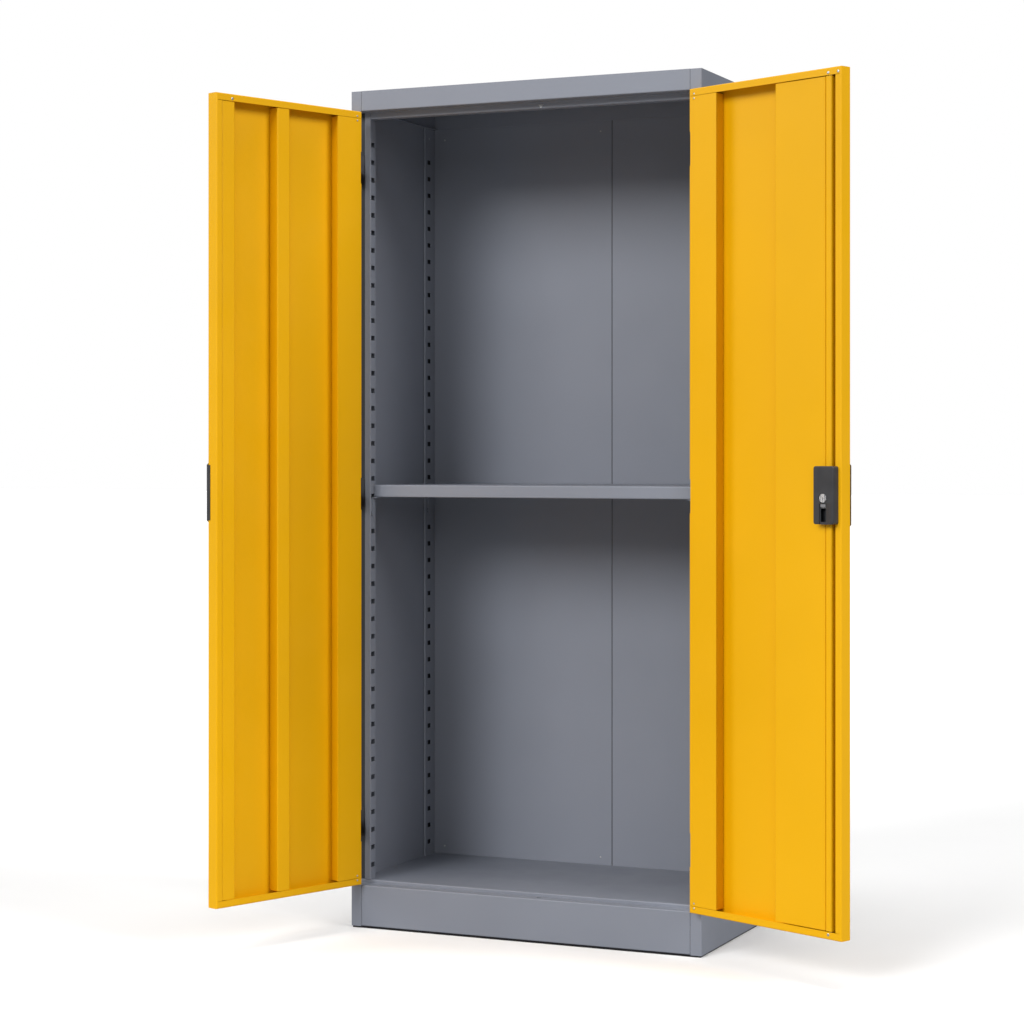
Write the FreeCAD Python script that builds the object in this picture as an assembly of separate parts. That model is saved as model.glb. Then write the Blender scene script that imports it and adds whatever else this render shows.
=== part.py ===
import FreeCAD, Part
import math
import os

# Free-standing steel cabinet with two hinged doors, one adjustable shelf, a
# three-point lock and rows of shelf slots.  Millimetres.
# Origin: centre of the footprint, on the floor.  X to the right as seen from
# the front, Y to the back, Z up.  The doors are drawn in their open rest pose.

# ---- overall size -------------------------------------------------------
WIDTH = 865.0
DEPTH = 445.0
HEIGHT = 1950.0
SHEET = 1.2              # steel sheet thickness
BEND = 1.2               # inside radius of a bend
BASE_HEIGHT = 4.0        # flat base ring under the sheet walls
BASE_INSET = 3.0
BASE_STRIP = 22.0
GAP = 0.1                # between sheets that are welded or screwed together
SEAM = 0.8               # open joint line between two visible sheets
RIVET_HEIGHT = 1.0

# ---- carcass ------------------------------------------------------------
FASCIA_HEIGHT = 47.0
PLINTH_HEIGHT = 100.0
FLOOR_TOP = 108.0
STOP_DEPTH = 32.0        # door stops stand this far behind the front plane
LINTEL_DROP = 15.0       # top door stop hangs this far below the fascia
CORNER_FLANGE = 26.0     # front flange of a side panel beside fascia and plinth
POST_WIDTH = 34.0
POST_DEPTH = 28.0
POST_STEP = 8.0          # recess beside the raised face, where the hinges are fixed
POST_STEP_WIDTH = 19.0
POST_BEND = 2.0
UPRIGHT_DEPTH = 45.0     # rear slotted upright, front to back
UPRIGHT_REAR_GAP = 17.5  # between the rear upright and the back
UPRIGHT_STANDOFF = 5.0
BACK_SEAM_X = 46.5       # joint between the two back sheets
BACK_SEAM_GAP = 2.0
SCREW_TOP = 1888.0
SCREW_BOTTOM = 126.5
SCREW_SIDE = 30.0        # screws beside a sheet's edge
TOP_FLANGE = 37.0
REAR_FLANGE = 18.0

# ---- shelf slots --------------------------------------------------------
SLOT_PITCH = 41.15
SLOT_FIRST = 141.7
SLOT_COUNT = 42
SLOT_LONG = 18.0
SLOT_TALL = 11.0
FRONT_SLOT_BACK = 12.4   # slot centre behind the face of the front post

# ---- shelf --------------------------------------------------------------
SHELF_TOP = 1032.0
SHELF_THICK = 28.5
SHELF_SETBACK = 48.5     # clears the lock housing of the closed door
SHELF_SIDE_GAP = 1.5
SHELF_REAR_GAP = 3.0
CLIP_THICK = 2.0
CLIP_REACH = 14.0        # of the clip's seat, backwards from its hook
CLIP_GAP = 0.3

# ---- doors --------------------------------------------------------------
DOOR_THICK = 30.0
DOOR_SIDE_GAP = 1.0      # door edge inside the cabinet's side plane
DOOR_MID_GAP = 3.0       # between the two closed doors
DOOR_BOTTOM = 103.0
DOOR_TOP = 1900.5
DOOR_WIDTH = (WIDTH - 2 * DOOR_SIDE_GAP - DOOR_MID_GAP) / 2
FREE_FLANGE = 15.0
END_FLANGE = 16.0
LEFT_HINGE_FLANGE = 74.0
RIGHT_HINGE_FLANGE = 80.0
CHANNEL_LEAN = 5.0       # the hinge channel's wall slopes back under its flange
STIFFENER_FOOT = 14.0
HAT_START = 219.0
HAT_END = 255.0
FREE_CHANNEL_START = 378.0
COVER_START = 247.5
COVER_END = 385.5
COVER_FACE = 27.5
ROD_COVER_WIDTH = 17.0
ROD_COVER_START = 387.0
RIVET_U = 14.0           # hinge-corner rivets from the door's hinge edge
LEFT_OPEN = 110.3        # rest angles from closed
RIGHT_OPEN = 156.0

# ---- hinges -------------------------------------------------------------
HINGE_INSET = 3.0        # axis inside the side plane
HINGE_PROUD = 1.5        # axis in front of the front plane
HINGE_HEIGHTS = (1770.0, 1012.0, 240.0)
HINGE_LENGTH = 70.0
KNUCKLE_RADIUS = 4.5
PIN_RADIUS = 2.5
PIN_CLEARANCE = 0.06
HINGE_LEAF = 1.4
HINGE_NOTCH = 8.5        # notch in the door edge around the knuckles

# ---- lock ---------------------------------------------------------------
LOCK_Z = 1019.0
PLATE_TALL = 132.0
PLATE_WIDE = 45.0
PLATE_PROUD = 3.0
HOUSING_WIDE = 53.5
HOUSING_TALL = 120.0
HOUSING_DEEP = 17.0
HOUSING_START = 369.5
HOUSING_WALL = 3.0
ROD_RADIUS = 3.5
ROD_U = ROD_COVER_START + ROD_COVER_WIDTH / 2
ROD_V = 21.0
BARREL_Z = 1013.0
BARREL_RADIUS = 5.0
BARREL_CLEARANCE = 0.06
KNOB_U = 408.0
KNOB_Z = 1047.0
KNOB_RADIUS = 15.0
CUP_RADIUS = 17.5
CUP_DEEP = 13.0
SPINDLE_RADIUS = 3.0
BEZEL_RADIUS = 9.0
SLIDE_SLOT_TOP = 1001.0
SLIDE_SLOT_BOTTOM = 964.0
SLIDE_SLOT_WIDE = 14.0
GROOVE_DEEP = 1.6        # shallow groove around the slider's slot

# ---- values that follow from the ones above ------------------------------
FRONT = -DEPTH / 2
BACK = DEPTH / 2
SIDE = WIDTH / 2
STOP = FRONT + STOP_DEPTH
FASCIA_BOTTOM = HEIGHT - FASCIA_HEIGHT
POST_INNER = SIDE - POST_WIDTH
AXIS_X = SIDE - HINGE_INSET
AXIS_Y = FRONT - HINGE_PROUD
DOOR_ORIGIN_X = -SIDE + DOOR_SIDE_GAP
WALL_INSIDE = -SIDE + SHEET + GAP
BACK_INSIDE = BACK - 2 * SHEET - GAP
UPRIGHT_REAR = BACK_INSIDE - UPRIGHT_REAR_GAP
REAR_SLOT_Y = UPRIGHT_REAR - UPRIGHT_DEPTH / 2
FLANGE_BOTTOM = HEIGHT - TOP_FLANGE
ROD_X = SIDE - DOOR_SIDE_GAP - ROD_U
ROD_Y = FRONT + ROD_V
KEEPER_HOLE = ROD_RADIUS + 2
CATCH_FACE = STOP - 0.7
UP = FreeCAD.Vector(0, 0, 1)


def vec(x, y, z=0.0):
    return FreeCAD.Vector(x, y, z)


def box(x0, x1, y0, y1, z0, z1):
    """Rectangular block between two corners."""
    return Part.makeBox(x1 - x0, y1 - y0, z1 - z0, vec(x0, y0, z0))


def rod(x, y, z, radius, length, axis=UP):
    return Part.makeCylinder(radius, length, vec(x, y, z), axis)


def joined(shapes):
    """One solid from several that touch."""
    result = shapes[0]
    for shape in shapes[1:]:
        result = result.fuse(shape)
    return result.removeSplitter()


def save(name, solids):
    """Write one node.  Several solids stay separate in it."""
    if not isinstance(solids, list):
        solids = [solids]
    flat = []
    for solid in solids:
        flat.extend(solid.Solids)
    shape = flat[0] if len(flat) == 1 else Part.makeCompound(flat)
    shape.exportStep(os.path.join("parts", name + ".step"))


# ---- folded sheet ---------------------------------------------------------
def offset_path(points, distance):
    """Parallel copy of an open 2-D path, to its left for a positive distance."""
    moved = []
    last = len(points) - 1
    for i in range(last + 1):
        before = points[i] - points[i - 1] if i > 0 else points[1] - points[0]
        after = points[i + 1] - points[i] if i < last else before
        d1 = vec(before.x, before.y).normalize()
        d2 = vec(after.x, after.y).normalize()
        n1 = vec(-d1.y, d1.x)
        n2 = vec(-d2.y, d2.x)
        middle = (n1 + n2).normalize()
        moved.append(points[i] + middle * (distance / middle.dot(n1)))
    return moved


def rounded_edges(points, radii):
    """Lines and bend arcs along an open path, one radius for each inner corner."""
    edges = []
    start = points[0]
    for i in range(1, len(points) - 1):
        corner = points[i]
        d1 = (corner - points[i - 1]).normalize()
        d2 = (points[i + 1] - corner).normalize()
        turn = math.acos(max(-1.0, min(1.0, d1.dot(d2))))
        tangent = radii[i - 1] * math.tan(turn / 2)
        a = corner - d1 * tangent
        b = corner + d2 * tangent
        inward = (d2 - d1).normalize()
        centre = corner + inward * (radii[i - 1] / math.cos(turn / 2))
        middle = centre - inward * radii[i - 1]
        edges.append(Part.LineSegment(start, a).toShape())
        edges.append(Part.Arc(a, middle, b).toShape())
        start = b
    edges.append(Part.LineSegment(start, points[-1]).toShape())
    return edges


def fold(path, thickness=SHEET, bend=BEND):
    """Flat face of a folded sheet.  The path runs along one skin and the metal
    lies to its left."""
    near = [vec(x, y) for x, y in path]
    far = offset_path(near, thickness)
    near_radii = []
    far_radii = []
    for i in range(1, len(near) - 1):
        d1 = near[i] - near[i - 1]
        d2 = near[i + 1] - near[i]
        left_turn = d1.x * d2.y - d1.y * d2.x > 0
        near_radii.append(bend + thickness if left_turn else bend)
        far_radii.append(bend if left_turn else bend + thickness)
    edges = rounded_edges(near, near_radii)
    edges.append(Part.LineSegment(near[-1], far[-1]).toShape())
    edges.extend(rounded_edges(far[::-1], far_radii[::-1]))
    edges.append(Part.LineSegment(far[0], near[0]).toShape())
    return Part.Face(Part.Wire(Part.__sortEdges__(edges)))


def fold_up(path, z0, z1, thickness=SHEET, bend=BEND):
    """Folded sheet whose section lies flat and which runs from z0 up to z1."""
    section = fold(path, thickness, bend)
    section.translate(vec(0, 0, z0))
    return section.extrude(vec(0, 0, z1 - z0))


def fold_across(path, x0, x1, thickness=SHEET, bend=BEND):
    """Folded sheet whose section is given as (y, z) and which runs along X."""
    section = fold(path, thickness, bend)
    turn = FreeCAD.Matrix(0, 0, 1, x0, 1, 0, 0, 0, 0, 1, 0, 0, 0, 0, 0, 1)
    section = section.transformGeometry(turn)
    return section.extrude(vec(x1 - x0, 0, 0))


def mirrored(shape):
    """The same shape on the other side of the cabinet."""
    return shape.mirror(vec(0, 0, 0), vec(1, 0, 0))


def rivet(x, y, z, axis, radius=2.2):
    """Low rivet head with a bevelled rim, standing on a surface."""
    half = RIVET_HEIGHT / 2
    rim = rod(x, y, z, radius, half, axis)
    crown = Part.makeCone(radius, radius * 0.6, half, vec(x, y, z) + axis * half, axis)
    return joined([rim, crown])


# ---- carcass ----------------------------------------------------------------
def side_panel():
    """Left outer wall with its rear flange.  The front corner reaches the front
    plane only beside the fascia and the plinth, so the doors can cover it."""
    path = [(-SIDE + REAR_FLANGE, BACK), (-SIDE, BACK), (-SIDE, FRONT),
            (-SIDE + CORNER_FLANGE, FRONT)]
    wall = fold_up(path, BASE_HEIGHT, HEIGHT - SHEET - GAP)
    door_zone = box(-SIDE - 1, -SIDE + CORNER_FLANGE + 1, FRONT - 1, STOP,
                    PLINTH_HEIGHT, FASCIA_BOTTOM)
    return wall.cut(door_zone)


def cut_slots(sheet, x, y):
    """Row of shelf slots through a wall that faces X."""
    for i in range(SLOT_COUNT):
        z = SLOT_FIRST + SLOT_PITCH * i
        sheet = sheet.cut(box(x - 4, x + 4, y - SLOT_LONG / 2, y + SLOT_LONG / 2,
                              z - SLOT_TALL / 2, z + SLOT_TALL / 2))
    return sheet


def front_post():
    """Left door post: a stepped front face and an inner wall with the front slots."""
    step_x = -SIDE + POST_STEP_WIDTH
    step_y = STOP + POST_STEP
    path = [(WALL_INSIDE, step_y + 12), (WALL_INSIDE, step_y), (step_x, step_y), (step_x, STOP),
            (-POST_INNER, STOP), (-POST_INNER, STOP + POST_DEPTH),
            (WALL_INSIDE + 1, STOP + POST_DEPTH)]
    post = fold_up(path, FLOOR_TOP + GAP, FLANGE_BOTTOM - GAP, SHEET, POST_BEND)
    return cut_slots(post, -POST_INNER, STOP + FRONT_SLOT_BACK)


def rear_upright():
    """Left rear slotted strip, a shallow channel standing off the side wall."""
    front = UPRIGHT_REAR - UPRIGHT_DEPTH
    face = WALL_INSIDE + UPRIGHT_STANDOFF
    path = [(WALL_INSIDE + 1, front), (face, front), (face, UPRIGHT_REAR),
            (WALL_INSIDE + 1, UPRIGHT_REAR)]
    upright = fold_up(path, FLOOR_TOP + GAP, FLANGE_BOTTOM - GAP)
    return cut_slots(upright, face, REAR_SLOT_Y)


def back_sheet(x0, x1):
    return box(x0, x1, BACK_INSIDE, BACK_INSIDE + SHEET, BASE_HEIGHT, HEIGHT - SHEET - GAP)


def back_seam_strip():
    """Strip behind the joint between the two back sheets."""
    return box(BACK_SEAM_X - 15, BACK_SEAM_X + 15, BACK_INSIDE + SHEET + GAP,
               BACK_INSIDE + 2 * SHEET + GAP, BASE_HEIGHT + 2, HEIGHT - 2 * SHEET - 2)


def top_panel():
    """Flat top sheet with flanges folded down inside the walls."""
    top = box(-SIDE, SIDE, FRONT + SHEET + GAP, BACK, HEIGHT - SHEET, HEIGHT)
    under = HEIGHT - SHEET
    left = box(WALL_INSIDE, WALL_INSIDE + SHEET, STOP + 2, BACK_INSIDE - GAP, FLANGE_BOTTOM, under)
    left_lip = box(WALL_INSIDE, WALL_INSIDE + 10, STOP + 2, BACK_INSIDE - GAP, FLANGE_BOTTOM,
                   FLANGE_BOTTOM + SHEET)
    rear = box(WALL_INSIDE, -WALL_INSIDE, BACK_INSIDE - GAP - SHEET, BACK_INSIDE - GAP,
               FLANGE_BOTTOM, under)
    return joined([top, left, left_lip, mirrored(left), mirrored(left_lip), rear])


def ledge_ends(inner, z):
    """Ledge continued behind the corner flanges of the side panels."""
    outer = SIDE - SHEET - BEND - GAP
    end = box(inner - 1, outer, FRONT + SHEET + BEND + GAP, STOP - GAP, z, z + SHEET)
    return [end, mirrored(end)]


def fascia():
    """Front band above the doors, with a ledge the upper rod locks into."""
    inner = SIDE - CORNER_FLANGE - SEAM
    path = [(FRONT, HEIGHT), (FRONT, FASCIA_BOTTOM), (STOP - GAP, FASCIA_BOTTOM)]
    band = fold_across(path, -inner, inner)
    band = joined([band] + ledge_ends(inner, FASCIA_BOTTOM))
    return band.cut(rod(ROD_X, ROD_Y, FASCIA_BOTTOM - 1, KEEPER_HOLE, 5))


def lintel():
    """Top door stop: a channel behind the fascia, hanging below it."""
    low = FASCIA_BOTTOM - LINTEL_DROP
    path = [(STOP, HEIGHT - SHEET - GAP), (STOP, low), (STOP + 22, low), (STOP + 22, low + 10)]
    return fold_across(path, -POST_INNER + GAP, POST_INNER - GAP)


def floor_panel():
    """Bottom shelf sheet with its front edge folded down behind the plinth."""
    inner = SIDE - SHEET - GAP
    path = [(STOP, PLINTH_HEIGHT - 38), (STOP, FLOOR_TOP), (BACK_INSIDE - GAP, FLOOR_TOP),
            (BACK_INSIDE - GAP, FLOOR_TOP - 30)]
    return fold_across(path[::-1], -inner, inner)


def plinth():
    """Front base band with a ledge the lower rod locks into."""
    inner = SIDE - CORNER_FLANGE - SEAM
    path = [(STOP - GAP, PLINTH_HEIGHT), (FRONT, PLINTH_HEIGHT), (FRONT, BASE_HEIGHT + 1),
            (FRONT + 20, BASE_HEIGHT + 1)]
    band = fold_across(path, -inner, inner)
    band = joined([band] + ledge_ends(inner, PLINTH_HEIGHT - SHEET))
    return band.cut(rod(ROD_X, ROD_Y, PLINTH_HEIGHT - 4, KEEPER_HOLE, 5))


def base_frame():
    """Flat ring under the walls, set back so it leaves a shadow line."""
    outer = box(-SIDE + BASE_INSET, SIDE - BASE_INSET, FRONT + BASE_INSET, BACK - BASE_INSET,
                0, BASE_HEIGHT)
    reach = BASE_INSET + BASE_STRIP
    inner = box(-SIDE + reach, SIDE - reach, FRONT + reach, BACK - reach, -1, BASE_HEIGHT + 1)
    return outer.cut(inner)


def keepers():
    """Stiffening plates around the two rod holes, and the catch on the lintel."""
    plates = []
    for z in (FASCIA_BOTTOM + SHEET + GAP, PLINTH_HEIGHT - 2 * SHEET - 0.5 - GAP):
        plate = box(ROD_X - 16, ROD_X + 16, ROD_Y - 10, STOP - 2 * GAP, z, z + 1.5)
        plates.append(plate.cut(rod(ROD_X, ROD_Y, z - 1, KEEPER_HOLE, 4)))
    low = FASCIA_BOTTOM - LINTEL_DROP
    corners = [vec(ROD_X - 7, CATCH_FACE, low + 9), vec(ROD_X + 7, CATCH_FACE, low + 9),
               vec(ROD_X, CATCH_FACE, low + 1)]
    outline = Part.makePolygon(corners + [corners[0]])
    catch = Part.Face(outline).extrude(vec(0, STOP - GAP - CATCH_FACE, 0))
    plates.append(catch)
    return plates


def back_screws():
    """Rivets near the corners of the back sheets and at the ends of the uprights."""
    heads = []
    upright_face = WALL_INSIDE + UPRIGHT_STANDOFF
    for z in (SCREW_TOP, SCREW_BOTTOM):
        for x in (-SIDE + SCREW_SIDE, BACK_SEAM_X - SCREW_SIDE, SIDE - SCREW_SIDE):
            heads.append(rivet(x, BACK_INSIDE, z, vec(0, -1, 0)))
    on_upright = rivet(upright_face, REAR_SLOT_Y, SCREW_TOP, vec(1, 0, 0))
    return heads + [on_upright, mirrored(on_upright)]


# ---- shelf --------------------------------------------------------------------
def shelf():
    """Tray shelf, notched at the corners to pass between the posts."""
    x = POST_INNER - SHELF_SIDE_GAP
    y0 = FRONT + SHELF_SETBACK
    y1 = BACK_INSIDE - SHELF_REAR_GAP
    low = SHELF_TOP - SHELF_THICK
    path = [(y0 + 12, low), (y0, low), (y0, SHELF_TOP), (y1, SHELF_TOP), (y1, low),
            (y1 - 12, low)]
    tray = fold_across(path[::-1], -x, x)
    left = box(-x, -x + SHEET, y0 + 14, y1 - 14, low, SHELF_TOP - SHEET)
    return joined([tray, left, mirrored(left)])


def shelf_stiffener():
    """Hat-shaped rib under the shelf."""
    x = POST_INNER - SHELF_SIDE_GAP - SHEET - 1
    top = SHELF_TOP - SHEET - GAP
    path = [(-45, top), (-25, top), (-25, top - 20), (25, top - 20), (25, top), (45, top)]
    return fold_across(path[::-1], -x, x)


def shelf_clips():
    """Hooks in the slots that carry the shelf corners."""
    clips = []
    z = SHELF_TOP - SHELF_THICK
    front_y = STOP + FRONT_SLOT_BACK
    rear_face = -WALL_INSIDE - UPRIGHT_STANDOFF
    top = z - CLIP_GAP
    slot_z = SLOT_FIRST + SLOT_PITCH * math.floor((top - 8 - SLOT_FIRST) / SLOT_PITCH)
    for face, y in ((POST_INNER, front_y), (rear_face, REAR_SLOT_Y)):
        plate = box(face - CLIP_THICK - GAP, face - GAP, y - 6, y + 6, slot_z - 6, top)
        seat = box(POST_INNER - 12, face - GAP, y - 6, y + 6 + CLIP_REACH, top - CLIP_THICK, top)
        tongue = box(face - GAP - 1, face + 5, y - 5, y + 5, slot_z - 2, slot_z + 2)
        clip = joined([plate, seat, tongue])
        clips.append(clip)
        clips.append(mirrored(clip))
    return clips


# ---- door parts, drawn closed on the left side --------------------------------
# u runs from the hinge edge to the free edge, v from the outer face inwards.
def door_box(u0, u1, v0, v1, z0, z1):
    return box(DOOR_ORIGIN_X + u0, DOOR_ORIGIN_X + u1, FRONT + v0, FRONT + v1, z0, z1)


def door_fold(path, z0, z1):
    moved = [(DOOR_ORIGIN_X + u, FRONT + v) for u, v in path]
    return fold_up(moved, z0, z1)


def door_rod(u, v, z, radius, length):
    """Round bar along the door's thickness, from depth v inwards."""
    return rod(DOOR_ORIGIN_X + u, FRONT + v, z, radius, length, vec(0, 1, 0))


def swing(shape, side):
    """Turn a part drawn closed on the left into the rest pose of its own door."""
    if side == "left":
        turned = shape.copy()
        turned.rotate(vec(-AXIS_X, AXIS_Y, 0), UP, -LEFT_OPEN)
        return turned
    turned = mirrored(shape)
    turned.rotate(vec(AXIS_X, AXIS_Y, 0), UP, RIGHT_OPEN)
    return turned


def swing_all(shapes, side):
    return [swing(shape, side) for shape in shapes]


def door_pan(hinge_flange):
    """Outer skin with folded edges and the inner flanges around its opening."""
    outer = door_box(0, DOOR_WIDTH, 0, DOOR_THICK, DOOR_BOTTOM, DOOR_TOP)
    long_edges = [edge for edge in outer.Edges
                  if abs(edge.Vertexes[0].Y - edge.Vertexes[1].Y) < 0.01]
    outer = outer.makeFillet(BEND + SHEET, long_edges)
    inner = door_box(SHEET, DOOR_WIDTH - SHEET, SHEET, DOOR_THICK - SHEET,
                     DOOR_BOTTOM + SHEET, DOOR_TOP - SHEET)
    window = door_box(hinge_flange, DOOR_WIDTH - FREE_FLANGE, DOOR_THICK - 2, DOOR_THICK + 1,
                      DOOR_BOTTOM + END_FLANGE, DOOR_TOP - END_FLANGE)
    pan = outer.cut(inner).cut(window)
    for z in (DOOR_BOTTOM + END_FLANGE, DOOR_TOP - END_FLANGE):
        joint = door_box(3.5, DOOR_WIDTH - 4, DOOR_THICK - 2, DOOR_THICK + 1,
                         z - SEAM / 2, z + SEAM / 2)
        pan = pan.cut(joint)
    for z in HINGE_HEIGHTS:
        half = HINGE_LENGTH / 2 + 2
        pan = pan.cut(door_box(-1, HINGE_NOTCH, -1, DOOR_THICK - 1.4, z - half, z + half))
        pan = pan.cut(door_box(-1, 3, -1, DOOR_THICK + 1, z - half, z + half))
    return pan


def hinge_channel(flange):
    """Stiffener that closes the hinge-side flange back to the skin."""
    inside = DOOR_THICK - SHEET - GAP
    skin = SHEET + GAP
    low = flange - CHANNEL_LEAN
    path = [(low - STIFFENER_FOOT, skin), (low, skin), (flange, inside), (flange - 22, inside)]
    return door_fold(path, DOOR_BOTTOM + END_FLANGE + 1, DOOR_TOP - END_FLANGE - 1)


def hat_stiffener():
    """Middle rib of the left door."""
    skin = SHEET + GAP
    crown = DOOR_THICK - 0.6
    path = [(HAT_END - STIFFENER_FOOT, skin), (HAT_END, skin), (HAT_END, crown),
            (HAT_START, crown), (HAT_START, skin), (HAT_START + STIFFENER_FOOT, skin)]
    return door_fold(path, DOOR_BOTTOM + END_FLANGE + 1, DOOR_TOP - END_FLANGE - 1)


def free_channel():
    """Channel along the free edge of the left door."""
    skin = SHEET + GAP
    crown = DOOR_THICK - 0.6
    rim = DOOR_WIDTH - FREE_FLANGE - SEAM
    start = FREE_CHANNEL_START
    path = [(rim, 9), (rim, crown), (start, crown), (start, skin), (start + STIFFENER_FOOT, skin)]
    return door_fold(path, DOOR_BOTTOM + END_FLANGE + 1, DOOR_TOP - END_FLANGE - 1)


def lock_cover():
    """Raised flat cover of the right door."""
    skin = SHEET + GAP
    path = [(COVER_END, skin + 6), (COVER_END, COVER_FACE), (COVER_START, COVER_FACE),
            (COVER_START, skin), (COVER_START + STIFFENER_FOOT, skin)]
    return door_fold(path, DOOR_BOTTOM + END_FLANGE + 1, DOOR_TOP - END_FLANGE - 1)


def rod_cover():
    """Rounded channel that hides the lock rods, open behind the lock housing."""
    u0 = ROD_COVER_START
    u1 = u0 + ROD_COVER_WIDTH
    path = [(u1, 8), (u1, DOOR_THICK - 0.4), (u0, DOOR_THICK - 0.4), (u0, 8)]
    moved = [(DOOR_ORIGIN_X + u, FRONT + v) for u, v in path]
    cover = fold_up(moved, DOOR_BOTTOM + END_FLANGE + 1, DOOR_TOP - END_FLANGE - 1, SHEET, 3.0)
    half = HOUSING_TALL / 2 - 4
    return cover.cut(door_box(u0 - 1, u1 + 1, 0, DOOR_THICK + 1, LOCK_Z - half, LOCK_Z + half))


def door_rivets(marks):
    """Pairs of rivets at the hinge corners, and one at each mark (u, z) near the free edge."""
    heads = []
    inward = vec(0, 1, 0)
    face = FRONT + DOOR_THICK
    for z in (DOOR_TOP - 11.5, DOOR_TOP - 22, DOOR_BOTTOM + 11.5, DOOR_BOTTOM + 22):
        heads.append(rivet(DOOR_ORIGIN_X + RIVET_U, face, z, inward))
    for u, z in marks:
        heads.append(rivet(DOOR_ORIGIN_X + u, face, z, inward, 3.2))
    return heads


# ---- hinges, drawn on the left ----------------------------------------------------
def knuckle(z0, z1):
    tube = rod(-AXIS_X, AXIS_Y, z0, KNUCKLE_RADIUS, z1 - z0)
    return tube.cut(rod(-AXIS_X, AXIS_Y, z0 - 1, PIN_RADIUS + PIN_CLEARANCE, z1 - z0 + 2))


def frame_hinges():
    """Lower knuckles and the leaves that fix them to the post."""
    leaves = []
    seat = STOP + POST_STEP - GAP
    for z in HINGE_HEIGHTS:
        z0 = z - HINGE_LENGTH / 2
        z1 = z + HINGE_LENGTH / 2
        arm_x = -AXIS_X - HINGE_LEAF
        arm = box(arm_x, -AXIS_X, AXIS_Y + 3.2, seat, z0, z - 1)
        foot_arm = box(arm_x, -AXIS_X, seat - 8, seat, z0, z1)
        foot = box(arm_x, -SIDE + POST_STEP_WIDTH - 4, seat - HINGE_LEAF, seat, z0, z1)
        leaves.append(joined([knuckle(z0, z - 0.3), arm, foot_arm, foot]))
    return leaves


def door_hinges():
    """Upper knuckles and the leaves that fix them inside the door skin."""
    leaves = []
    for z in HINGE_HEIGHTS:
        z1 = z + HINGE_LENGTH / 2
        v = SHEET + GAP
        leaf = box(-AXIS_X + 2.9, -SIDE + 40, FRONT + v, FRONT + v + HINGE_LEAF, z + 1, z1)
        leaves.append(joined([knuckle(z + 0.3, z1), leaf]))
    return leaves


def hinge_pins():
    """Fixed pins with low heads, one for each hinge."""
    pins = []
    for z in HINGE_HEIGHTS:
        z0 = z - HINGE_LENGTH / 2
        pin = rod(-AXIS_X, AXIS_Y, z0 - 0.4, PIN_RADIUS, HINGE_LENGTH + 1.9)
        head = rod(-AXIS_X, AXIS_Y, z0 - 1.9, KNUCKLE_RADIUS - 0.3, 1.5)
        pins.append(joined([pin, head]))
    return pins


# ---- lock, drawn on the left and mirrored with the right door ------------------------
def plate_outline(u0, u1, v0, v1, tall, chamfer):
    """Upright plate with chamfered corners, centred on the lock height."""
    z0 = LOCK_Z - tall / 2
    z1 = LOCK_Z + tall / 2
    x0 = DOOR_ORIGIN_X + u0
    x1 = DOOR_ORIGIN_X + u1
    y = FRONT + v0
    corners = [(x0 + chamfer, z0), (x1 - chamfer, z0), (x1, z0 + chamfer), (x1, z1 - chamfer),
               (x1 - chamfer, z1), (x0 + chamfer, z1), (x0, z1 - chamfer), (x0, z0 + chamfer)]
    points = [vec(x, y, z) for x, z in corners]
    outline = Part.makePolygon(points + [points[0]])
    return Part.Face(outline).extrude(vec(0, v1 - v0, 0))


def pull_plate():
    """Left door's plate: covers the outer face and laps the free edge."""
    plate = plate_outline(DOOR_WIDTH - PLATE_WIDE, DOOR_WIDTH + 1.2, -PLATE_PROUD, -GAP,
                          PLATE_TALL, 5)
    lap = door_box(DOOR_WIDTH + GAP, DOOR_WIDTH + 1.2, -0.2, 8, LOCK_Z - PLATE_TALL / 2 + 5,
                   LOCK_Z + PLATE_TALL / 2 - 5)
    return joined([plate, lap])


def handle_plate():
    """Right door's outer plate with the round cup for the knob."""
    plate = plate_outline(DOOR_WIDTH - PLATE_WIDE, DOOR_WIDTH - 0.5, -PLATE_PROUD, -GAP,
                          PLATE_TALL, 5)
    cup = door_rod(KNOB_U, -1, KNOB_Z, CUP_RADIUS + 2, CUP_DEEP + 3)
    plate = joined([plate, cup])
    plate = plate.cut(door_rod(KNOB_U, -PLATE_PROUD - 1, KNOB_Z, CUP_RADIUS,
                               CUP_DEEP + PLATE_PROUD + 1))
    plate = plate.cut(door_rod(KNOB_U, 0, KNOB_Z, SPINDLE_RADIUS + BARREL_CLEARANCE, 30))
    barrel = door_rod(ROD_U, -10, BARREL_Z, BARREL_RADIUS + BARREL_CLEARANCE, 30)
    return plate.cut(barrel)


def cut_lock_holes(pan):
    """Holes in the right door's skin for the cup and the key barrel."""
    pan = pan.cut(door_rod(KNOB_U, -5, KNOB_Z, CUP_RADIUS + 2.3, 15))
    pan = pan.cut(door_rod(ROD_U, -5, BARREL_Z, BARREL_RADIUS + 1, 15))
    for z in (DOOR_TOP - 30, DOOR_BOTTOM - 10):
        pan = pan.cut(rod(DOOR_ORIGIN_X + ROD_U, FRONT + ROD_V, z, ROD_RADIUS + 0.6, 40))
    return pan


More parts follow.
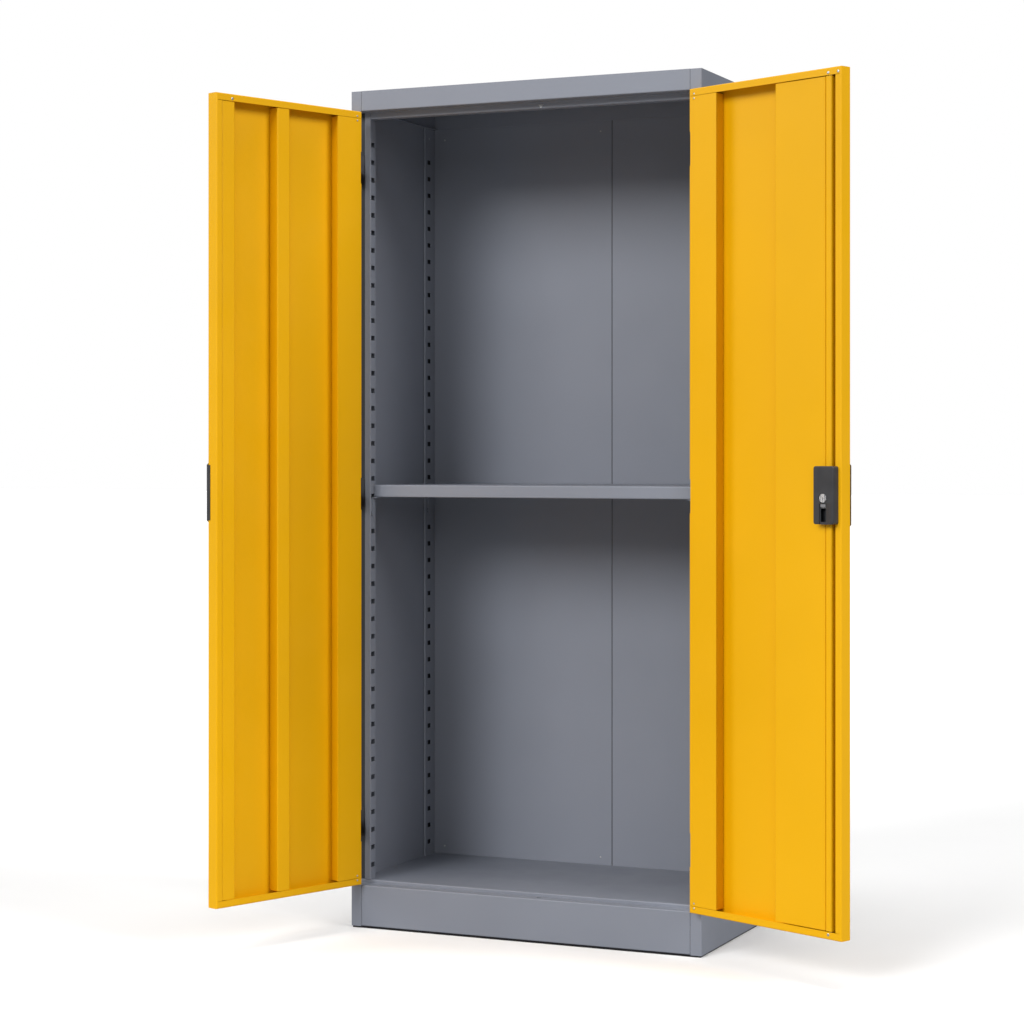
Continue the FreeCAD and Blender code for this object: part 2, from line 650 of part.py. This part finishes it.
def lock_housing():
    """Black cover inside the right door, with a key hole and a slider slot."""
    u0 = HOUSING_START
    u1 = u0 + HOUSING_WIDE
    v0 = DOOR_THICK + GAP
    v1 = v0 + HOUSING_DEEP
    z0 = LOCK_Z - HOUSING_TALL / 2
    z1 = LOCK_Z + HOUSING_TALL / 2
    body = door_box(u0, u1, v0, v1, z0, z1)
    upright = [edge for edge in body.Edges
               if abs(edge.Vertexes[0].Y - edge.Vertexes[1].Y) > 1]
    body = body.makeFillet(5, upright)
    front_rim = [edge for edge in body.Edges if edge.BoundBox.YMin > FRONT + v1 - 0.01]
    body = body.makeFillet(1.8, front_rim)
    wall = HOUSING_WALL
    hollow = door_box(u0 + wall, u1 - wall, v0 + 1.5, v1 - wall, z0 + wall, z1 - wall)
    hollow_edges = [edge for edge in hollow.Edges
                    if abs(edge.Vertexes[0].Y - edge.Vertexes[1].Y) > 1]
    body = body.cut(hollow.makeFillet(2.0, hollow_edges))
    body = body.cut(door_rod(ROD_U, v0 - 1, BARREL_Z, BARREL_RADIUS + BARREL_CLEARANCE, 4))
    body = body.cut(door_rod(ROD_U, v1 - 5, BARREL_Z, BEZEL_RADIUS + 0.05, 10))
    body = body.cut(door_rod(ROD_U, v1 - 1.2, BARREL_Z, BEZEL_RADIUS + 2, 5))
    half = SLIDE_SLOT_WIDE / 2
    groove = [(ROD_U - half - 3, v1 + 1), (ROD_U - half - 3, v1 - GROOVE_DEEP),
              (ROD_U + half + 1, v1 - GROOVE_DEEP), (ROD_U + half + 12, v1), (u1, v1 + 1)]
    outline = [vec(DOOR_ORIGIN_X + u, FRONT + v, z0 - 1) for u, v in groove]
    section = Part.Face(Part.makePolygon(outline + [outline[0]]))
    body = body.cut(section.extrude(vec(0, 0, SLIDE_SLOT_TOP + 2 - z0)))
    slot = door_box(ROD_U - half, ROD_U + half, v1 - 4, v1 + 1, SLIDE_SLOT_BOTTOM, SLIDE_SLOT_TOP)
    return body.cut(slot)


def lock_bezel():
    """Bright ring around the key barrel, set in the housing's front wall."""
    v1 = DOOR_THICK + GAP + HOUSING_DEEP
    ring = door_rod(ROD_U, v1 - 4, BARREL_Z, BEZEL_RADIUS, 4.6)
    return ring.cut(door_rod(ROD_U, v1 - 6, BARREL_Z, BARREL_RADIUS + BARREL_CLEARANCE, 10))


def key_barrel():
    """Key cylinder through the door, with a keyway in each end."""
    v0 = -PLATE_PROUD - 0.5
    v1 = DOOR_THICK + GAP + HOUSING_DEEP + 0.4
    barrel = door_rod(ROD_U, v0, BARREL_Z, BARREL_RADIUS, v1 - v0)
    for v in (v0 - 1, v1 - 4):
        keyway = door_box(ROD_U - 0.9, ROD_U + 0.9, v, v + 5, BARREL_Z - 3, BARREL_Z + 3)
        barrel = barrel.cut(keyway)
    return barrel


def snib():
    """Small slider in the housing's slot."""
    v1 = DOOR_THICK + GAP + HOUSING_DEEP
    z1 = SLIDE_SLOT_TOP - 0.5
    half = SLIDE_SLOT_WIDE / 2
    grip = door_box(ROD_U - half + 0.5, ROD_U + half - 0.5, v1 - 5, v1 - 0.6, z1 - 5.5, z1)
    flange = door_box(ROD_U - half - 2, ROD_U + half + 2, v1 - 5, v1 - HOUSING_WALL - 0.4,
                      z1 - 8, z1 + 1.5)
    return joined([grip, flange])


def turn_knob():
    """Round knob with a finger bar, sunk in the cup."""
    disc = door_rod(KNOB_U, 4, KNOB_Z, KNOB_RADIUS, CUP_DEEP - 4.5)
    bar = door_box(KNOB_U - 3.5, KNOB_U + 3.5, -2.5, 5, KNOB_Z - 13, KNOB_Z + 13)
    ends = [edge for edge in bar.Edges if abs(edge.Vertexes[0].Y - edge.Vertexes[1].Y) > 1]
    return joined([disc, bar.makeFillet(3.2, ends)])


def knob_spindle():
    """Round shaft from the knob to the cam."""
    return door_rod(KNOB_U, CUP_DEEP - 0.5, KNOB_Z, SPINDLE_RADIUS, 9.0)


def cam():
    """Disc on the inner end of the spindle that drives both rods."""
    disc = door_rod(KNOB_U, CUP_DEEP + 3.5, KNOB_Z, 8, 4)
    return disc.cut(door_rod(KNOB_U, CUP_DEEP, KNOB_Z, SPINDLE_RADIUS, 20))


def upper_rod():
    z0 = KNOB_Z + 10
    return rod(DOOR_ORIGIN_X + ROD_U, FRONT + ROD_V, z0, ROD_RADIUS, DOOR_TOP - 0.5 - z0)


def lower_rod():
    """Lower rod with the side link that passes the key barrel."""
    z1 = BARREL_Z - BARREL_RADIUS - 8
    z0 = DOOR_BOTTOM + 0.5
    bar = rod(DOOR_ORIGIN_X + ROD_U, FRONT + ROD_V, z0, ROD_RADIUS, z1 - z0)
    foot = door_box(ROD_U, KNOB_U + 6, ROD_V - 1.5, ROD_V + 1.5, z1 - 5, z1)
    link = door_box(KNOB_U + 2, KNOB_U + 6, ROD_V - 1.5, ROD_V + 1.5, z1 - 5, KNOB_Z - 10)
    return joined([bar, foot, link])


# ---- write every node -------------------------------------------------------------
os.makedirs("parts", exist_ok=True)

for name, maker in (("side_panel", side_panel), ("front_post", front_post),
                    ("rear_upright", rear_upright)):
    left_shape = maker()
    save(name + "_left", left_shape)
    save(name + "_right", mirrored(left_shape))

save("back_sheet_wide", back_sheet(WALL_INSIDE + BEND, BACK_SEAM_X - BACK_SEAM_GAP / 2))
save("back_sheet_narrow", back_sheet(BACK_SEAM_X + BACK_SEAM_GAP / 2, -WALL_INSIDE - BEND))
save("back_seam_strip", back_seam_strip())
save("top_panel", top_panel())
save("fascia", fascia())
save("lintel", lintel())
save("floor_panel", floor_panel())
save("plinth", plinth())
save("base_frame", base_frame())
save("rod_keepers", keepers())
save("back_screws", back_screws())
save("shelf", shelf())
save("shelf_stiffener", shelf_stiffener())
save("shelf_clips", shelf_clips())

frame_leaves = frame_hinges()
pins = hinge_pins()
door_leaves = door_hinges()
save("frame_hinges_left", frame_leaves)
save("frame_hinges_right", [mirrored(leaf) for leaf in frame_leaves])
save("hinge_pins_left", pins)
save("hinge_pins_right", [mirrored(pin) for pin in pins])

save("door_left_pan", swing(door_pan(LEFT_HINGE_FLANGE), "left"))
save("door_left_hinge_channel", swing(hinge_channel(LEFT_HINGE_FLANGE), "left"))
save("door_left_hat", swing(hat_stiffener(), "left"))
save("door_left_free_channel", swing(free_channel(), "left"))
save("door_left_pull_plate", swing(pull_plate(), "left"))
save("door_left_hinges", swing_all(door_leaves, "left"))
save("door_left_rivets", swing_all(door_rivets([(385.5, DOOR_TOP - 10.5)]), "left"))

save("door_right_pan", swing(cut_lock_holes(door_pan(RIGHT_HINGE_FLANGE)), "right"))
save("door_right_hinge_channel", swing(hinge_channel(RIGHT_HINGE_FLANGE), "right"))
save("door_right_cover", swing(lock_cover(), "right"))
save("door_right_rod_cover", swing(rod_cover(), "right"))
save("door_right_hinges", swing_all(door_leaves, "right"))
right_marks = [(ROD_U, DOOR_TOP - 10.5), (DOOR_WIDTH - 7.5, DOOR_TOP - 10.5),
               (ROD_U, DOOR_BOTTOM + 10)]
save("door_right_rivets", swing_all(door_rivets(right_marks), "right"))
save("handle_plate", swing(handle_plate(), "right"))
save("lock_housing", swing(lock_housing(), "right"))
save("lock_bezel", swing(lock_bezel(), "right"))
save("key_barrel", swing(key_barrel(), "right"))
save("snib", swing(snib(), "right"))
save("turn_knob", swing(turn_knob(), "right"))
save("knob_spindle", swing(knob_spindle(), "right"))
save("lock_cam", swing(cam(), "right"))
save("upper_rod", swing(upper_rod(), "right"))
save("lower_rod", swing(lower_rod(), "right"))
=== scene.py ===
import math

import bpy
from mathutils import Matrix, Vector


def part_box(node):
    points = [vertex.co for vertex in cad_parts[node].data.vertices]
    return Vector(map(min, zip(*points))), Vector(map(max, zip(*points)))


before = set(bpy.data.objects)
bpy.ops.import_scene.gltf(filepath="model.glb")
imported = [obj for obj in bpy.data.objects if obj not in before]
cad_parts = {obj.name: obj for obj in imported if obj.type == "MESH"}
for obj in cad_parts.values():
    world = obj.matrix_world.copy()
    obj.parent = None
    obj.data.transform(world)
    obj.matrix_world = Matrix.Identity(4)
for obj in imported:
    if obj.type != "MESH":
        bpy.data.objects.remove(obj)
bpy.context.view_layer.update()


# ---- materials -------------------------------------------------------------------
NOISE_LOW = 0.3     # noise values lie mostly between these two
NOISE_HIGH = 0.7


def new_material(name, colour, roughness, metallic=0.0):
    """Material with a Principled shader.  Returns the material, its tree and the shader."""
    material = bpy.data.materials.new(name)
    material.use_nodes = True
    tree = material.node_tree
    shader = tree.nodes["Principled BSDF"]
    shader.inputs["Base Color"].default_value = (*colour, 1)
    shader.inputs["Roughness"].default_value = roughness
    shader.inputs["Metallic"].default_value = metallic
    return material, tree, shader


def noise(tree, scale, detail, stretch=(1, 1, 1)):
    """Object-space noise, so it stays with the part when a joint moves."""
    coords = tree.nodes.new("ShaderNodeTexCoord")
    mapping = tree.nodes.new("ShaderNodeMapping")
    mapping.inputs["Scale"].default_value = stretch
    texture = tree.nodes.new("ShaderNodeTexNoise")
    texture.inputs["Scale"].default_value = scale
    texture.inputs["Detail"].default_value = detail
    tree.links.new(coords.outputs["Object"], mapping.inputs["Vector"])
    tree.links.new(mapping.outputs["Vector"], texture.inputs["Vector"])
    return texture.outputs["Fac"]


def ramp(tree, source, low, high):
    """Maps a noise value onto two colours."""
    node = tree.nodes.new("ShaderNodeValToRGB")
    node.color_ramp.elements[0].position = NOISE_LOW
    node.color_ramp.elements[1].position = NOISE_HIGH
    node.color_ramp.elements[0].color = (*low, 1)
    node.color_ramp.elements[1].color = (*high, 1)
    tree.links.new(source, node.inputs["Fac"])
    return node.outputs["Color"]


def map_range(tree, source, low, high):
    """Maps a noise value onto two numbers."""
    node = tree.nodes.new("ShaderNodeMapRange")
    node.inputs["From Min"].default_value = NOISE_LOW
    node.inputs["From Max"].default_value = NOISE_HIGH
    node.inputs["To Min"].default_value = low
    node.inputs["To Max"].default_value = high
    tree.links.new(source, node.inputs["Value"])
    return node.outputs["Result"]


def bump(tree, shader, source, strength, distance, below=None):
    """Adds relief in metres, on top of the relief below it when there is any."""
    node = tree.nodes.new("ShaderNodeBump")
    node.inputs["Strength"].default_value = strength
    node.inputs["Distance"].default_value = distance
    tree.links.new(source, node.inputs["Height"])
    if below is not None:
        tree.links.new(below, node.inputs["Normal"])
    tree.links.new(node.outputs["Normal"], shader.inputs["Normal"])
    return node.outputs["Normal"]


def scaled(colour, factor):
    """Lighter or darker shade of a colour."""
    return tuple(min(1.0, c * factor) for c in colour)


def math_node(tree, operation, first, second=None):
    """Math node.  Each input is either a number or another node's output."""
    node = tree.nodes.new("ShaderNodeMath")
    node.operation = operation
    for socket, value in zip(node.inputs, (first, second)):
        if isinstance(value, (int, float)):
            socket.default_value = value
        elif value is not None:
            tree.links.new(value, socket)
    return node.outputs["Value"]


def between(tree, value, low, high):
    """1 where the value lies between two limits, else 0."""
    above = math_node(tree, "GREATER_THAN", value, low)
    below = math_node(tree, "LESS_THAN", value, high)
    return math_node(tree, "MULTIPLY", above, below)


def paint_shade(material, mask, colour):
    """Paints a dark colour in place of the paint where the mask is 1, as painted shade."""
    tree = material.node_tree
    base = tree.nodes["Principled BSDF"].inputs["Base Color"]
    mix = tree.nodes.new("ShaderNodeMix")
    mix.data_type = "RGBA"
    tree.links.new(mask, mix.inputs["Factor"])
    tree.links.new(base.links[0].from_socket, mix.inputs["A"])
    mix.inputs["B"].default_value = (*colour, 1)
    tree.links.new(mix.outputs["Result"], base)


def position(tree, axis):
    """One object-space coordinate, which is in the cabinet's own frame for fixed parts."""
    coords = tree.nodes.new("ShaderNodeTexCoord")
    split = tree.nodes.new("ShaderNodeSeparateXYZ")
    tree.links.new(coords.outputs["Object"], split.inputs["Vector"])
    return split.outputs[axis]


def powder_coat(name, colour, roughness, specular):
    """Sprayed powder paint: fine orange peel, slightly uneven gloss and shade."""
    material, tree, shader = new_material(name, colour, roughness)
    shader.inputs["Specular IOR Level"].default_value = specular
    clouds = noise(tree, scale=2.2, detail=3)
    tone = ramp(tree, clouds, scaled(colour, 0.965), scaled(colour, 1.035))
    tree.links.new(tone, shader.inputs["Base Color"])
    sprayed = noise(tree, scale=9, detail=4)
    gloss = map_range(tree, sprayed, roughness - 0.05, roughness + 0.05)
    tree.links.new(gloss, shader.inputs["Roughness"])
    sheet = noise(tree, scale=14, detail=2)
    waves = bump(tree, shader, sheet, strength=0.10, distance=0.0006)
    skin = noise(tree, scale=420, detail=3)
    peel = bump(tree, shader, skin, strength=0.22, distance=0.0004, below=waves)
    grain = noise(tree, scale=1500, detail=2)
    bump(tree, shader, grain, strength=0.18, distance=0.00015, below=peel)
    return material


def brushed_steel(name, colour, roughness):
    """Plated or bare steel with fine drawn lines."""
    material, tree, shader = new_material(name, colour, roughness, metallic=1.0)
    streaks = noise(tree, scale=300, detail=4, stretch=(1, 1, 0.04))
    gloss = map_range(tree, streaks, roughness - 0.08, roughness + 0.12)
    tree.links.new(gloss, shader.inputs["Roughness"])
    tone = ramp(tree, noise(tree, scale=60, detail=3), scaled(colour, 0.85), colour)
    tree.links.new(tone, shader.inputs["Base Color"])
    bump(tree, shader, streaks, strength=0.12, distance=0.0002)
    return material


def moulded_plastic(name, colour, roughness):
    """Moulded plastic with a fine spark-eroded grain."""
    material, tree, shader = new_material(name, colour, roughness)
    grain = noise(tree, scale=1600, detail=3)
    wear = noise(tree, scale=40, detail=3)
    gloss = map_range(tree, wear, roughness - 0.06, roughness + 0.08)
    tree.links.new(gloss, shader.inputs["Roughness"])
    clouds = noise(tree, scale=30, detail=2)
    tone = ramp(tree, clouds, scaled(colour, 0.9), scaled(colour, 1.1))
    tree.links.new(tone, shader.inputs["Base Color"])
    bump(tree, shader, grain, strength=0.25, distance=0.0002)
    return material


GREY = (0.216, 0.233, 0.278)
YELLOW = (0.765, 0.395, 0.0)
# painted shadow: the base ring's near-black colour stands in for the shade under the walls
BASE_RING_SHADOW = (0.012, 0.012, 0.014)
DEEP_SHADOW = (0.006, 0.006, 0.007)    # behind slots and joints
RECESS_SHADOW = (0.045, 0.052, 0.066)  # beside the hinges
PAINT_ROUGHNESS = 0.42
GREY_SPECULAR = 0.45
YELLOW_SPECULAR = 0.22


def grey_paint(name):
    """The carcass paint.  Nodes with an area of painted shadow each have their own copy of it.
    """
    return powder_coat(name, GREY, PAINT_ROUGHNESS, GREY_SPECULAR)


materials = {
    "grey_paint": grey_paint("grey_powder_coat"),
    "yellow_paint": powder_coat("yellow_powder_coat", YELLOW, PAINT_ROUGHNESS, YELLOW_SPECULAR),
    "dark_steel": brushed_steel("dark_steel_finish", (0.11, 0.11, 0.12), 0.42),
    "zinc_steel": brushed_steel("zinc_plate", (0.55, 0.56, 0.58), 0.35),
    "black_plastic": moulded_plastic("black_plastic_grain", (0.030, 0.031, 0.035), 0.36),
    "grey_plastic": moulded_plastic("grey_plastic_grain", (0.20, 0.20, 0.21), 0.45),
    "chrome": brushed_steel("chrome_plate", (0.85, 0.85, 0.87), 0.28),
}


# ---- materials on the CAD nodes --------------------------------------------------
def dress_nodes():
    """Give every carried-over CAD node the material of its slot."""
    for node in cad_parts.values():
        for slot in node.material_slots:
            slot.material = materials[slot.material.name]


def dress(names, material):
    """Give some CAD nodes a material of their own."""
    for name in names:
        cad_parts[name].material_slots[0].material = material


def dress_base_ring():
    """The ring stands in shadow under the walls and is painted dark, as painted shadow."""
    dress(["base_frame"], powder_coat("base_ring_painted_shadow", BASE_RING_SHADOW, roughness=0.6, specular=0.2))


def dress_side_walls():
    """Painted shadow on the inside behind the posts and uprights, so that the slots look deep.
    """
    skin = 0.0006    # half the sheet, to tell its inside from its outside
    margin = 0.002   # keeps the painted shadow band hidden behind its post
    material = grey_paint("grey_powder_coat_wall_painted_shadow")
    tree = material.node_tree
    from_middle = math_node(tree, "ABSOLUTE", position(tree, "X"))
    half_width = -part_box("side_panel_left")[0][0]
    inside = math_node(tree, "LESS_THAN", from_middle, half_width - skin)
    depth = position(tree, "Y")
    bands = []
    for name in ("front_post_left", "rear_upright_left"):
        low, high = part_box(name)
        bands.append(between(tree, depth, low[1] + margin, high[1] - margin))
    behind = math_node(tree, "MAXIMUM", *bands)
    # painted shadow: near black where the wall lies behind a post or upright
    paint_shade(material, math_node(tree, "MULTIPLY", inside, behind), DEEP_SHADOW)
    dress(["side_panel_left", "side_panel_right"], material)


def dress_seam_strip():
    """Painted shadow on its front face, which shows only through the joint of the back."""
    material = grey_paint("grey_powder_coat_strip_painted_shadow")
    tree = material.node_tree
    low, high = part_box("back_seam_strip")
    middle = (low[1] + high[1]) / 2
    # painted shadow: the front half of the strip is near black
    paint_shade(material, math_node(tree, "LESS_THAN", position(tree, "Y"), middle), DEEP_SHADOW)
    dress(["back_seam_strip"], material)


def dress_posts():
    """Painted shade in the recess that carries the hinges."""
    material = grey_paint("grey_powder_coat_post_painted_shade")
    tree = material.node_tree
    from_middle = math_node(tree, "ABSOLUTE", position(tree, "X"))
    recess_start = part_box("frame_hinges_right")[0][0]
    recess = math_node(tree, "GREATER_THAN", from_middle, recess_start)
    # painted shade: the hinge recess of each post is dark
    paint_shade(material, recess, RECESS_SHADOW)
    dress(["front_post_left", "front_post_right"], material)


dress_nodes()
dress_base_ring()
dress_side_walls()
dress_seam_strip()
dress_posts()


# ---- floor, lights, camera -------------------------------------------------------
FLOOR_LOOK = ((0.94, 0.94, 0.94), (0.95, 0.95, 0.95))
FLOOR_BOUNCE = (0.34, 0.34, 0.34)
AMBIENT = 0.02
EYE = (2.2118, -5.2402, 1.1007)
EYE_TURN = 0.4188          # radians, to the left of straight at the front
LENS = 85.2
SHIFT_UP = -0.0551

# Name, azimuth, elevation and spread in degrees, strength.
LIGHTS = (
    ("key_light", -15, 28, 26, 2.0),
    ("left_fill", -65, 25, 30, 1.0),
    ("right_fill", 82, 28, 28, 2.05),
    ("front_fill", 27, 20, 30, 0.5),
    ("top_light", 0, 85, 30, 1.35),
    ("rear_light", -150, 40, 30, 0.5),
)


def add_floor():
    """Wide studio floor that looks pale but throws only a third of the light back up,
    so that the inside of the cabinet stays dark."""
    reach = 60.0
    corners = [(-reach, -reach, 0), (reach, -reach, 0), (reach, reach, 0), (-reach, reach, 0)]
    mesh = bpy.data.meshes.new("studio_floor")
    mesh.from_pydata(corners, [], [(0, 1, 2, 3)])
    floor = bpy.data.objects.new("studio_floor", mesh)
    bpy.context.collection.objects.link(floor)
    material, tree, shader = new_material("studio_floor", FLOOR_BOUNCE, roughness=0.8)
    pale = ramp(tree, noise(tree, scale=3, detail=2), *FLOOR_LOOK)
    rays = tree.nodes.new("ShaderNodeLightPath")
    mix = tree.nodes.new("ShaderNodeMix")
    mix.data_type = "RGBA"
    mix.inputs["A"].default_value = (*FLOOR_BOUNCE, 1)
    tree.links.new(rays.outputs["Is Camera Ray"], mix.inputs["Factor"])
    tree.links.new(pale, mix.inputs["B"])
    tree.links.new(mix.outputs["Result"], shader.inputs["Base Color"])
    mesh.materials.append(material)


def add_light(name, azimuth, elevation, spread, strength):
    """Far, wide and soft light.  Azimuth 0 is in front of the cabinet, positive to its right."""
    light = bpy.data.lights.new(name, "SUN")
    light.angle = math.radians(spread)
    light.energy = strength
    lamp = bpy.data.objects.new(name, light)
    bpy.context.collection.objects.link(lamp)
    turn = math.radians(azimuth)
    rise = math.radians(elevation)
    towards = Vector((math.sin(turn) * math.cos(rise), -math.cos(turn) * math.cos(rise),
                      math.sin(rise)))
    lamp.rotation_mode = "QUATERNION"
    lamp.rotation_quaternion = towards.to_track_quat("Z", "Y")


def add_world():
    """White backdrop that adds only a little light of its own."""
    world = bpy.data.worlds.new("studio")
    world.use_nodes = True
    tree = world.node_tree
    ambient = tree.nodes["Background"]
    ambient.inputs["Color"].default_value = (1, 1, 1, 1)
    ambient.inputs["Strength"].default_value = AMBIENT
    backdrop = tree.nodes.new("ShaderNodeBackground")
    backdrop.inputs["Color"].default_value = (1, 1, 1, 1)
    rays = tree.nodes.new("ShaderNodeLightPath")
    mix = tree.nodes.new("ShaderNodeMixShader")
    tree.links.new(rays.outputs["Is Camera Ray"], mix.inputs["Fac"])
    tree.links.new(ambient.outputs["Background"], mix.inputs[1])
    tree.links.new(backdrop.outputs["Background"], mix.inputs[2])
    tree.links.new(mix.outputs["Shader"], tree.nodes["World Output"].inputs["Surface"])
    bpy.context.scene.world = world


def add_camera():
    """Level camera at chest height, to the right of the cabinet."""
    camera = bpy.data.cameras.new("camera")
    camera.sensor_width = 36
    camera.lens = LENS
    camera.shift_y = SHIFT_UP
    camera.clip_end = 200
    eye = bpy.data.objects.new("camera", camera)
    bpy.context.collection.objects.link(eye)
    eye.location = EYE
    eye.rotation_euler = (math.radians(90), 0, EYE_TURN)
    bpy.context.scene.camera = eye


add_floor()
for light_values in LIGHTS:
    add_light(*light_values)
add_world()
add_camera()
bpy.context.scene.view_settings.view_transform = "Standard"
